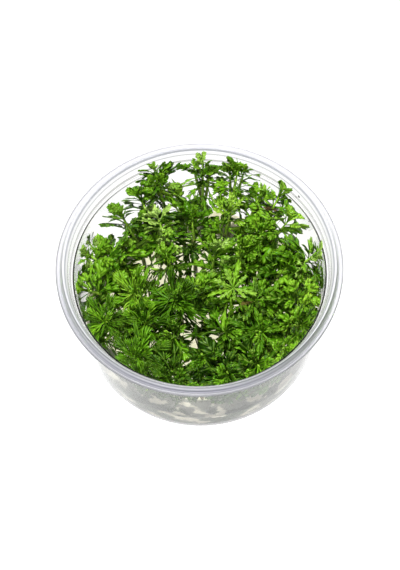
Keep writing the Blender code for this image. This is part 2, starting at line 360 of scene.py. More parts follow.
def turned(name, profile, sides):
    """A closed turned mesh; the profile starts and ends on the axis, foot first."""
    points = [(0.0, 0.0, profile[0][1])]
    faces = []
    rings = profile[1:-1]
    for radius, height in rings:
        for step in range(sides):
            turn = math.tau * step / sides
            points.append((radius * math.cos(turn), radius * math.sin(turn), height))
    points.append((0.0, 0.0, profile[-1][1]))
    for step in range(sides):
        after = (step + 1) % sides
        faces.append((0, 1 + after, 1 + step))
        for ring in range(len(rings) - 1):
            low = 1 + ring * sides
            high = low + sides
            faces.append((low + step, low + after, high + after, high + step))
        last = 1 + (len(rings) - 1) * sides
        faces.append((last + step, last + after, len(points) - 1))
    mesh = bpy.data.meshes.new(name)
    mesh.from_pydata(points, [], faces)
    mesh.shade_smooth()
    mesh.set_sharp_from_angle(angle=SHARP_FROM)
    return mesh


def put_over(nodes, shader, upper, factor):
    """A material's surface: one shader over its own, by a factor."""
    mixed = nodes.add("ShaderNodeMixShader", None,
                      {0: factor, 1: Socket(nodes, shader, shader.outputs[0]), 2: upper})
    nodes.feed(nodes.tree.nodes["Material Output"], {"Surface": mixed})


rim_outside = list(rounded([
    (WALL_TOP_RADIUS, WALL_TOP_HEIGHT),
    (LEDGE_RADIUS + WALL, LEDGE_HEIGHT - 0.0004),
    (CREST_RADIUS - 0.0006, RIM_HEIGHT - 0.0008),
    (RIM_RADIUS - 0.0004, RIM_HEIGHT - 0.0011),
    (RIM_RADIUS, RIM_HEIGHT - 0.0003),
    (RIM_RADIUS - 0.0004, RIM_HEIGHT + 0.0002),
    (RIM_RADIUS - 0.0009, RIM_HEIGHT - 0.0003),
    (RIM_RADIUS - 0.0015, RIM_HEIGHT - 0.0001),
    (CREST_RADIUS + 0.0005, RIM_HEIGHT + CREST_RISE - 0.0004),
    (CREST_RADIUS, RIM_HEIGHT + CREST_RISE),
    (CREST_RADIUS - 0.0005, RIM_HEIGHT + CREST_RISE - 0.0005),
    (LEDGE_RADIUS + 0.0008, RIM_HEIGHT - CREST_RISE / 2),
    (LEDGE_RADIUS, LEDGE_HEIGHT),
    (wall_radius(LEDGE_HEIGHT - 0.0004, WALL), LEDGE_HEIGHT - 0.0004),
    (wall_radius(WALL_TOP_HEIGHT, WALL), WALL_TOP_HEIGHT),
]))
cup_profile = [(0.0, 0.0), *corner_arc(0.0, CORNER_STEPS)]
cup_profile += [(wall_radius(height, 0.0), height) for height in WALL_RINGS]
lip_ring = len(cup_profile) + RINGS_BELOW_LIP
ledge_ring = len(cup_profile) + len(rim_outside) - RINGS_BELOW_LEDGE
cup_profile += rim_outside
cup_profile += [(wall_radius(height, WALL), height) for height in reversed(WALL_RINGS)]
cup_profile += [*reversed(list(corner_arc(WALL, CORNER_STEPS))), (0.0, WALL)]

plastic, nodes, shader = new_material("clear_plastic", ior=1.38, transmission_weight=1.0,
                                      specular_ior_level=0.22)
place = nodes.add("ShaderNodeTexCoord", output="Object")
parts = nodes.add("ShaderNodeSeparateXYZ", None, {0: place})
moulded = ((parts["Z"] - FROST_FROM) / FROST_FADE).held()
reach = (parts["X"] * parts["X"] + parts["Y"] * parts["Y"]).math("SQRT")
band = (reach - RIM_BANDS_FROM) / (RIM_RADIUS - RIM_BANDS_FROM)
# Painted lines across the rim top, for the room reflected and refracted in its steps
painted_rim_lines = nodes.add("ShaderNodeValToRGB", {"stops": RIM_PAINTED_LINES}, {0: band}, "Color")
upper = nodes.add("ShaderNodeAttribute", {"attribute_name": "rim_top"}, None, "Fac")
# Painted shade on the foot's corner, where its outline shows against the table
foot = ((FOOT_SHADE - parts["Z"]) / FOOT_FADE).held()
foot = foot * ((reach - SHADE_FROM) / SHADE_FADE).held()
# Painted shade low on the wall, growing towards the front and falling to the right
front = FRONT_IN_MIDDLE - parts["Y"] * FRONT_BY_DEPTH
front = (front - parts["X"].math("MAXIMUM", 0.0) * FRONT_BY_RIGHT).held()
low = ((WALL_SHADE - parts["Z"]) / WALL_FADE).held()
low = low * ((reach - SHADE_FROM) / SHADE_FADE).held()
clear = nodes.mix(low * front, CLEAR_COLOUR, LOW_SHADE_COLOUR)
clear = nodes.mix(foot, clear, FOOT_SHADE_COLOUR)
nodes.feed(shader, {
    "Base Color": nodes.mix(upper * moulded, clear, painted_rim_lines),
    "Roughness": nodes.noise(place, 90.0, 3.0) * 0.03 + moulded * RIM_FROST + 0.005,
})
# A layer of painted shade over the plastic: banded on the rim and strongest at its front, plain on
# the foot's corner, the lower wall at the front and the ledge's lines
painted_shade_tones = nodes.add("ShaderNodeValToRGB", {"stops": FRONT_PAINTED_SHADE}, {0: band}, "Color")
painted_shade_tones = nodes.mix(1 - moulded, painted_shade_tones, PLAIN_SHADE_COLOUR)
painted_shade_layer = nodes.add("ShaderNodeBsdfPrincipled", None,
                 {"Base Color": painted_shade_tones, "Roughness": 0.35}, "BSDF")
painted_shade_share = (upper * moulded * (front * FRONT_SHADE_PAINT + RIM_SHADE_PAINT)).math("MAXIMUM", foot * FOOT_SHADE_PAINT)
painted_shade_share = painted_shade_share.math("MAXIMUM", low * front * WALL_SHADE_PAINT)
# Thin lines of painted shade round the ledge's edges
ledge = ((parts["Z"] - WALL_TOP_HEIGHT) / LEDGE_FADE).held()
for radius, half in LEDGE_LINES:
    line = (1 - (reach - radius).math("ABSOLUTE") / half).math("MAXIMUM", 0.0)
    painted_shade_share = painted_shade_share.math("MAXIMUM", line * ledge * LEDGE_SHADE_PAINT)
put_over(nodes, shader, painted_shade_layer, painted_shade_share)
dimming = nodes.add("ShaderNodeVolumeAbsorption", None,
                    {"Color": PLASTIC_DIMMING, "Density": PLASTIC_DENSITY}, "Volume")
nodes.feed(nodes.tree.nodes["Material Output"], {"Volume": dimming})
cup_mesh = turned("clear_cup", cup_profile, CUP_SIDES)
rim_top = cup_mesh.attributes.new("rim_top", "FLOAT", "POINT")
for point, mark in zip(cup_mesh.vertices, rim_top.data):
    ring = (point.index - 1) // CUP_SIDES + 1
    mark.value = 1.0 if lip_ring <= ring <= ledge_ring else 0.0
cup = new_object("clear_cup", cup_mesh, plastic)
cup.visible_shadow = False
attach(cup, "root")
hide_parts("cup")


# The gel: milky nutrient jelly poured into the foot. It climbs a little up the wall at its
# edge and its top swells and dips a little in ripples.
GEL_TOP = 0.0130
GEL_GAP = 0.0002
GEL_CLIMB = 0.0019
GEL_CLIMB_FADE = 0.0014
GEL_SWELL = 0.00022
GEL_TOP_FROM = GEL_TOP - 0.001
GEL_SIDES = 128
GEL_RINGS = 26
GEL_CORNER_STEPS = 8
INNER_COLOURS = ((0.97, 0.93, 0.62, 1.0), (1.0, 0.99, 0.76, 1.0))
# Its side at the front, where it shows through the wall, carries painted shade in grey and dark
# green patches and streaks of painted light
SIDE_RADIUS = 0.0424
SIDE_FADE = 0.0008
FRONT_FROM = -0.010
FRONT_FADE = 0.006
FRONT_DEPTH = 0.0060
SHOWN_FROM = -0.001
SHOWN_FADE = 0.012
SHADED_SIDE_COLOURS = ((0.045, 0.062, 0.026, 1.0), (0.19, 0.19, 0.155, 1.0))
LIT_STREAK_COLOUR = (0.78, 0.74, 0.60, 1.0)
# The share of a dull surface there that carries the painted shade and light
PAINTED_SIDE_SHARE = 0.85

gel_inset = WALL + GEL_GAP
gel_profile = [(0.0, gel_inset), *corner_arc(gel_inset, GEL_CORNER_STEPS)]
edge_radius = wall_radius(GEL_TOP, gel_inset)
gel_profile.append((edge_radius, GEL_TOP + GEL_CLIMB))
for ring in range(GEL_RINGS):
    radius = edge_radius * (1 - (ring + 0.5) / GEL_RINGS)
    climb = GEL_CLIMB * math.exp(-(edge_radius - radius) / GEL_CLIMB_FADE)
    gel_profile.append((radius, GEL_TOP + climb))
gel_profile.append((0.0, GEL_TOP))
gel_mesh = turned("gel", gel_profile, GEL_SIDES)
for point in gel_mesh.vertices:
    if point.co.z > GEL_TOP_FROM:
        swell = math.sin(point.co.x * 310 + 1.3) * math.sin(point.co.y * 270 + 0.4)
        swell += 0.6 * math.sin((point.co.x + point.co.y) * 520)
        point.co.z += GEL_SWELL * swell

gel_finish, nodes, shader = new_material("nutrient_gel", ior=1.18, transmission_weight=0.92,
                                         subsurface_weight=0.3, subsurface_scale=0.002)
nodes.feed(shader, {"Subsurface Radius": (1.0, 0.92, 0.75)})
place = nodes.add("ShaderNodeTexCoord", output="Object")
parts = nodes.add("ShaderNodeSeparateXYZ", None, {0: place})
reach = (parts["X"] * parts["X"] + parts["Y"] * parts["Y"]).math("SQRT")
turn = nodes.add("ShaderNodeMath", {"operation": "ARCTAN2"}, {0: parts["X"], 1: 0 - parts["Y"]})
layered = nodes.add("ShaderNodeCombineXYZ", None,
                    {"X": turn * 4.4, "Y": reach * 220, "Z": parts["Z"] * 260})
# Painted shade in patches and painted light in streaks, on the gel's side at the front
shade_patch = ((nodes.noise(layered, 0.7, 4.0) - 0.48) * 14).held()
lit_streak = ((nodes.noise(layered, 1.1, 4.0) - 0.53) * 18).held()
front = ((FRONT_FROM - parts["Y"]) / FRONT_FADE).held()
painted_side_mask = ((reach - SIDE_RADIUS + front * FRONT_DEPTH) / SIDE_FADE).held()
painted_side_mask = painted_side_mask * ((SHOWN_FROM - parts["Y"]) / SHOWN_FADE).held()
side = nodes.mix(shade_patch, *SHADED_SIDE_COLOURS)
side = nodes.mix(lit_streak, side, LIT_STREAK_COLOUR)
inner = nodes.mix(nodes.noise(place, 130.0, 3.0), *INNER_COLOURS)
nodes.feed(shader, {
    "Base Color": nodes.mix(painted_side_mask, inner, side),
    "Roughness": nodes.noise(place, 220.0, 3.0) * 0.22 + 0.20,
})
# A dull surface over the gel's side at the front, in its painted shade and light
painted_side_surface = nodes.add("ShaderNodeBsdfPrincipled", None,
                    {"Base Color": side, "Roughness": 0.4, "Specular IOR Level": 0.1}, "BSDF")
put_over(nodes, shader, painted_side_surface, painted_side_mask * PAINTED_SIDE_SHARE)
gel = new_object("jelly", gel_mesh, gel_finish)
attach(gel, "root")
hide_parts("agar_gel")


# The leaves. Each is a thin blade on a narrow stalk, cut from both sides into lobes that point
# forwards like parsley's. Young ones are broad and stand stiff, and older ones are narrow and
# arch over. One unit long here, along +X, with the upper face to +Z.
LEAF_FORMS = {
    "broad": {"pairs": 3, "first": 0.40, "last": 0.78, "spread": 35, "lobe": 0.32, "bend": 0.3,
              "half_width": 0.076, "blade": (0.050, 0.168, 0.160)},
    "fan": {"pairs": 2, "first": 0.50, "last": 0.70, "spread": 31, "lobe": 0.38, "bend": 0.4,
            "half_width": 0.082, "blade": (0.046, 0.162, 0.180)},
    "long": {"pairs": 3, "first": 0.38, "last": 0.78, "spread": 25, "lobe": 0.24, "bend": 0.3,
             "half_width": 0.040, "blade": (0.046, 0.084, 0.092)},
    "cut": {"pairs": 2, "first": 0.36, "last": 0.66, "spread": 28, "lobe": 0.43, "bend": 0.6,
            "half_width": 0.072, "blade": (0.040, 0.122, 0.128)},
    "strap": {"pairs": 2, "first": 0.42, "last": 0.70, "spread": 22, "lobe": 0.32, "bend": 0.6,
              "half_width": 0.038, "blade": (0.034, 0.064, 0.066)},
    "thread": {"pairs": 3, "first": 0.16, "last": 0.60, "spread": 24, "lobe": 0.56, "bend": 1.3,
               "half_width": 0.034, "blade": (0.030, 0.040, 0.036)},
}
LEAF_KINDS = {"toothed": ("broad", "strap"), "lobed": ("fan", "cut"),
              "starry": ("long", "strap"), "feathery": ("thread", "thread")}
LEAF_SHAPES_EACH = 8
LEAF_THICKNESS = 0.020
STALK_HALF_WIDTH = 0.034
# What each leaf's form is drawn from; twists and sways are in degrees
LOBES_VARY = (0.8, 1.2)
FOLDS = (0.05, 0.55)
TWISTS = (-40, 40)
SWAYS = (-26, 26)
WAVES = (0.0, 0.10)
CURLS = (-0.35, 0.25)
# How far a leaf arches over, in degrees: the youngest, what age adds, and how that varies
YOUNG_DROOP = 8
AGE_DROOP = 66
DROOPS_VARY = (-6, 14)


def leaf_parts(form, chance):
    """The blade and its lobes, each as a start, a heading and rows of (distance, half width)."""
    wide = chance.uniform(*LOBES_VARY)
    low, middle, high = form["blade"]
    yield (0.0, 0.0, ((0.0, STALK_HALF_WIDTH), (form["first"] * 0.85, low),
                      (form["first"] * 0.3 + form["last"] * 0.7, middle * wide),
                      (0.86, high * wide), (1.0, 0.0)))
    for pair in range(form["pairs"]):
        share = pair / (form["pairs"] - 1)
        for side in (-1, 1):
            start = form["first"] + (form["last"] - form["first"]) * share
            start += chance.uniform(-0.03, 0.03)
            heading = form["spread"] * (1.25 - 0.5 * share) * chance.uniform(*LOBES_VARY)
            heading = math.radians(heading)
            length = form["lobe"] * (0.80 + 0.30 * math.sin(math.pi * (0.25 + 0.5 * share)))
            length = min(length * chance.uniform(0.8, 1.12), (1.0 - start) / math.cos(heading))
            half = form["half_width"] * chance.uniform(*LOBES_VARY)
            yield (start, side * heading,
                   ((0.0, half * 0.55), (length * 0.68, half), (length, 0.0)))


def leaf_mesh(name, form, droop, chance):
    """A leaf of closed four-sided lobes, folded along its midrib, arched, waved and twisted."""
    fold = chance.uniform(*FOLDS)
    twist = math.radians(chance.uniform(*TWISTS))
    sway = math.radians(chance.uniform(*SWAYS))
    wave = chance.uniform(*WAVES)
    phase = chance.uniform(0.0, math.tau)
    points = []
    flats = []
    faces = []

    def place(along, across, lift):
        lift += fold * abs(across) * (1 - 1.4 * abs(across)) - 0.5 * across * across
        lift += wave * math.sin(along * 11 + phase) * abs(across)
        turn = twist * along
        side = across * math.cos(turn) - lift * math.sin(turn)
        rise = across * math.sin(turn) + lift * math.cos(turn)
        bend = droop * along
        points.append((math.sin(bend) / droop + rise * math.sin(bend),
                       side + sway * along * along * 0.5,
                       (math.cos(bend) - 1) / droop + rise * math.cos(bend)))

    for start, heading, rows in leaf_parts(form, chance):
        first = len(points)
        forward = (math.cos(heading), math.sin(heading))
        curl = chance.uniform(*CURLS)
        for distance, half in rows:
            bent = heading * (1 - form["bend"] * distance * 0.6)
            along = start + math.cos(bent) * distance
            across = math.sin(bent) * distance
            lift = curl * distance * distance if heading else 0.0
            thick = LEAF_THICKNESS * (0.75 - 0.35 * along)
            if not half:
                place(along, across, lift)
                flats.append((0.5, along))
                continue
            for left, rise, flat in ((-half, 0.0, 0.0), (0.0, thick, 0.5), (half, 0.0, 1.0),
                                     (0.0, -thick, 0.5)):
                place(along - forward[1] * left, across + forward[0] * left, lift + rise)
                flats.append((flat, along))
        faces.append(tuple(range(first, first + 4)))
        for row in range(len(rows) - 2):
            low = first + row * 4
            for side in range(4):
                after = (side + 1) % 4
                faces.append((low + side, low + 4 + side, low + 4 + after, low + after))
        last = len(points) - 5
        for side in range(4):
            faces.append((last + side, last + 4, last + (side + 1) % 4))
    mesh = bpy.data.meshes.new(name)
    mesh.from_pydata(points, [], faces)
    layer = mesh.uv_layers.new(name="UVMap")
    for corner in mesh.loops:
        layer.data[corner.index].uv = flats[corner.vertex_index]
    mesh.shade_smooth()
    return mesh


leaf_chance = random.Random(11)
leaf_sets = {}
for kind, forms in LEAF_KINDS.items():
    leaf_sets[kind] = bpy.data.collections.new(f"{kind}_leaves")
    for number in range(LEAF_SHAPES_EACH):
        share = number / (LEAF_SHAPES_EACH - 1)
        droop = YOUNG_DROOP + AGE_DROOP * share + leaf_chance.uniform(*DROOPS_VARY)
        form = forms[number * 2 // LEAF_SHAPES_EACH]
        mesh = leaf_mesh(f"{kind}_{number}", LEAF_FORMS[form], math.radians(droop), leaf_chance)
        leaf_sets[kind].objects.link(bpy.data.objects.new(mesh.name, mesh))


# The foliage's finish: wet-looking green, yellower and paler on young leaves, dull and dark on the
# old ones below, partly as painted shade, with a light vein along each lobe, partly a painted
# highlight, and darker teeth.
LEAF_GREENS = {
    "leaf_fresh_green": ((0.235, 0.445, 0.026), (0.102, 0.285, 0.004), (0.026, 0.085, 0.001)),
    "leaf_mid_green": ((0.175, 0.375, 0.016), (0.072, 0.220, 0.003), (0.018, 0.058, 0.001)),
    "leaf_deep_green": ((0.135, 0.310, 0.011), (0.050, 0.165, 0.002), (0.011, 0.040, 0.001)),
}
NEWEST_COLOUR = (0.40, 0.56, 0.15, 1.0)
WITHERED_COLOUR = (0.105, 0.062, 0.018, 1.0)
WITHERED_FROM = 0.975
STALK_COLOURS = ((0.26, 0.46, 0.045, 1.0), (0.085, 0.095, 0.025, 1.0))


def leaf_finish(name, young, grown, old):
    """A green for leaves and stems, from its young, grown and old colours."""
    made, nodes, shader = new_material(name, ior=1.40, specular_ior_level=0.16,
                                       subsurface_weight=0.15, subsurface_scale=0.0006)
    nodes.feed(shader, {"Subsurface Radius": (0.5, 1.0, 0.12)})
    tint = nodes.add("ShaderNodeAttribute", {"attribute_name": "leaf_tint"}, None, "Fac")
    # Leaf age, which darkens leaves low in each shoot partly as painted shade, with each shoot's
    # shade and the painted shade and light of its place added
    age_and_shade = nodes.add("ShaderNodeAttribute", {"attribute_name": "leaf_age"}, None, "Fac")
    stem = nodes.add("ShaderNodeAttribute", {"attribute_name": "stem_part"}, None, "Fac")
    flat = nodes.add("ShaderNodeUVMap", {"uv_map": "UVMap"})
    parts = nodes.add("ShaderNodeSeparateXYZ", None, {0: flat})
    across = (parts["X"] - 0.5).math("ABSOLUTE") * 2
    along = parts["Y"]
    place = nodes.add("ShaderNodeTexCoord", output="Object")
    mottle = nodes.noise(place, 420.0, 3.0)
    cells = nodes.noise(place, 2600.0, 2.0)

    stage = (age_and_shade * 1.1 + (tint - 0.5) * 0.8).held()
    early = nodes.mix((stage * 2).math("MINIMUM", 1.0), (*young, 1.0), (*grown, 1.0))
    body = nodes.mix((stage * 2 - 1).math("MAXIMUM", 0.0), early, (*old, 1.0))
    body = nodes.mix(mottle * 0.55, body, (*old, 1.0))
    edge = (across * across * along) * 0.32
    body = nodes.mix(edge, body, (*old, 1.0))
    # A paler vein along each lobe, made paler still as a painted highlight
    veins = (1 - (across * 3.2).math("MINIMUM", 1.0)) * (1 - stem)
    pale = nodes.mix(veins * 0.30, body, (young[0] * 1.6, young[1] * 1.2, young[2] * 3.0, 1.0))
    # Leaves with an age below zero, from a pale or bright shoot and from the painted light at the
    # back, turn paler still
    fresh = (0 - age_and_shade).held(0.4)
    pale = nodes.mix(fresh * 1.5, pale, NEWEST_COLOUR)
    withered = ((tint - WITHERED_FROM) * 60).held(0.85)
    withered = withered * ((age_and_shade - 0.8) * 6).held()
    pale = nodes.mix(withered, pale, WITHERED_COLOUR)
    stalk = nodes.mix((age_and_shade * 1.3 - 0.1).held(), *STALK_COLOURS)
    nodes.feed(shader, {
        "Base Color": nodes.mix(stem, pale, stalk),
        "Roughness": 0.14 + cells * 0.24 + age_and_shade * 0.14,
    })
    relief = cells * 0.3 - veins * 0.6
    bump = nodes.add("ShaderNodeBump", None,
                     {"Strength": 0.35, "Distance": 0.0002, "Height": relief})
    nodes.feed(shader, {"Normal": bump})
    return made


leaf_finishes = {name: leaf_finish(name, *greens) for name, greens in LEAF_GREENS.items()}


# The shoots: each is a stem rooted in the gel that bows out to its growing tip, with side shoots
# and whorls of leaves that close up towards each tip. At the cup's wall they press along it.
STEM_FOOT_RADIUS = 0.0009
STEM_TIP_RADIUS = 0.00055
ROOT_DEPTH = 0.0055
NECK_HEIGHT = 0.0030
ROOT_PULL = 0.74
BOW_SHARE = 0.62
STEM_STEPS = 16
STEM_SIDES = 6
# Side shoots: where on the stem they start, how far out their tips stand and how far lower
SIDE_SHOOTS = 1
SIDE_SIZE = 0.80
SIDE_START = (0.42, 0.68)
SIDE_REACH = (0.0055, 0.0095)
SIDE_DROP = (0.001, 0.009)
SIDE_LIMIT = 0.0455
SIDE_CEILING = 0.0480
# At the back wall they crowd into crowns, and at the rest of the wall they turn aside along it
CLUSTERED_FROM = 0.0400
CROWN_REACH = (0.0026, 0.0042)
CROWN_DROP = (0.0004, 0.0024)
EDGE_RADIUS = 0.0350
EDGE_TO = 0.0150
EDGE_TURN = (0.5, 1.4)
# Whorls of leaves on the leafy length of a stem, and how unevenly their leaves stand, in radians
WHORLS = 6
LEAVES_IN_WHORL = 7
WHORL_TURN = 0.93
LEAFY_LENGTH = 0.0175
LEAF_LENGTH = 0.0138
LEAVES_VARY = (0.66, 1.10)
SHOOTS_VARY = (0.92, 1.08)
TILT = 0.30
SWING = 0.34
RISE_VARIES = 0.40
LEAF_ROLL = 0.70
# The share of the lowest whorl's leaves that is lost
BACK_FROM = 0.0280
LOST_LEAVES = 0.45
LOST_AT_BACK = 0.75
# Where the gel shows between the shoots, on its top, and how far leaves keep from that line
OPEN_REACH = 0.0031
OPEN_LENGTH = 0.0450
OPENINGS = ((-0.0070, -0.0105), (-0.0055, -0.0124), (-0.0015, -0.0130), (0.0043, -0.0128),
            (0.0015, -0.0023), (-0.0078, -0.0024), (-0.0034, 0.0318),
            (0.0012, -0.0146), (0.0108, 0.0363), (-0.0227, 0.0220), (-0.0444, 0.0082),
            (-0.0326, 0.0033))
# The shoots stay inside the wall and under the lid that closed the cup, and give way near both
WALL_CLEARANCE = 0.0002
WALL_GIVE = 0.0010
RIM_FLARE = 0.35
LID_HEIGHT = 0.0532
LID_GIVE = 0.0012
# What each shade adds to the age of a shoot's leaves, which darkens them; its place adds painted
# shade at the front and painted light at the back
SHADES = {"pale": -0.42, "bright": -0.18, "plain": 0.08, "dark": 0.30}
SHADE_VARIES = 0.06
SHADE_PAINTED_IN_FRONT = 13
LIGHT_PAINTED_AT_BACK = 4
# How steeply a tip's first leaves rise, in radians, and how long they are beside grown ones
HABITS = {"toothed": (1.22, 0.50), "lobed": (1.18, 0.58), "starry": (0.50, 0.60),
          "feathery": (0.95, 0.80)}
# Other seeds for the shoots whose own number gives side shoots in the wrong places
SEEDS = {10: 299, 11: 324, 16: 306}
# Each shoot's kind of leaf, its shade and its growing tip, from the back of the cup to the front
SHOOTS = (
    ("toothed", "plain", (0.0026, 0.0440, 0.0497)), ("toothed", "plain", (-0.0155, 0.0416, 0.0494)),
    ("toothed", "dark", (0.0160, 0.0415, 0.0494)), ("lobed", "plain", (0.0310, 0.0298, 0.0480)),
    ("lobed", "dark", (-0.0213, 0.0330, 0.0440)), ("toothed", "plain", (-0.0075, 0.0355, 0.0420)),
    ("toothed", "plain", (0.0235, 0.0330, 0.0420)), ("toothed", "plain", (-0.0288, 0.0243, 0.0470)),
    ("lobed", "plain", (0.0338, 0.0207, 0.0450)), ("toothed", "pale", (-0.0150, 0.0236, 0.0450)),
    ("toothed", "dark", (-0.0021, 0.0257, 0.0420)), ("toothed", "plain", (0.0125, 0.0265, 0.0450)),
    ("toothed", "dark", (0.0250, 0.0190, 0.0420)), ("toothed", "bright", (-0.0417, 0.0107, 0.0430)),
    ("lobed", "plain", (-0.0330, 0.0140, 0.0380)), ("toothed", "dark", (-0.0124, 0.0103, 0.0400)),
    ("toothed", "bright", (0.0060, 0.0096, 0.0430)), ("toothed", "dark", (0.0172, 0.0120, 0.0410)),
    ("lobed", "bright", (0.0425, 0.0064, 0.0430)), ("lobed", "plain", (0.0335, 0.0040, 0.0390)),
    ("feathery", "plain", (-0.0249, -0.0048, 0.0400)),
    ("lobed", "plain", (-0.0416, -0.0029, 0.0400)),
    ("feathery", "dark", (-0.0100, -0.0076, 0.0380)), ("lobed", "dark", (0.0010, -0.0045, 0.0390)),
    ("starry", "bright", (0.0124, -0.0067, 0.0450)),
    ("lobed", "plain", (0.0248, -0.0106, 0.0390)), ("lobed", "plain", (0.0378, -0.0093, 0.0400)),
    ("feathery", "dark", (-0.0356, -0.0164, 0.0400)),
    ("feathery", "plain", (-0.0208, -0.0160, 0.0360)),
    ("lobed", "dark", (-0.0108, -0.0216, 0.0340)), ("lobed", "dark", (0.0092, -0.0205, 0.0360)),
    ("starry", "plain", (0.0220, -0.0231, 0.0410)),
    ("lobed", "plain", (0.0370, -0.0210, 0.0410)),
    ("feathery", "plain", (-0.0240, -0.0310, 0.0390)),
    ("toothed", "bright", (-0.0002, -0.0318, 0.0390)),
    ("toothed", "bright", (0.0300, -0.0300, 0.0400)),
    ("toothed", "dark", (-0.0125, -0.0378, 0.0370)), ("lobed", "plain", (0.0095, -0.0382, 0.0370)),
    ("lobed", "plain", (0.0208, -0.0355, 0.0375)),
)


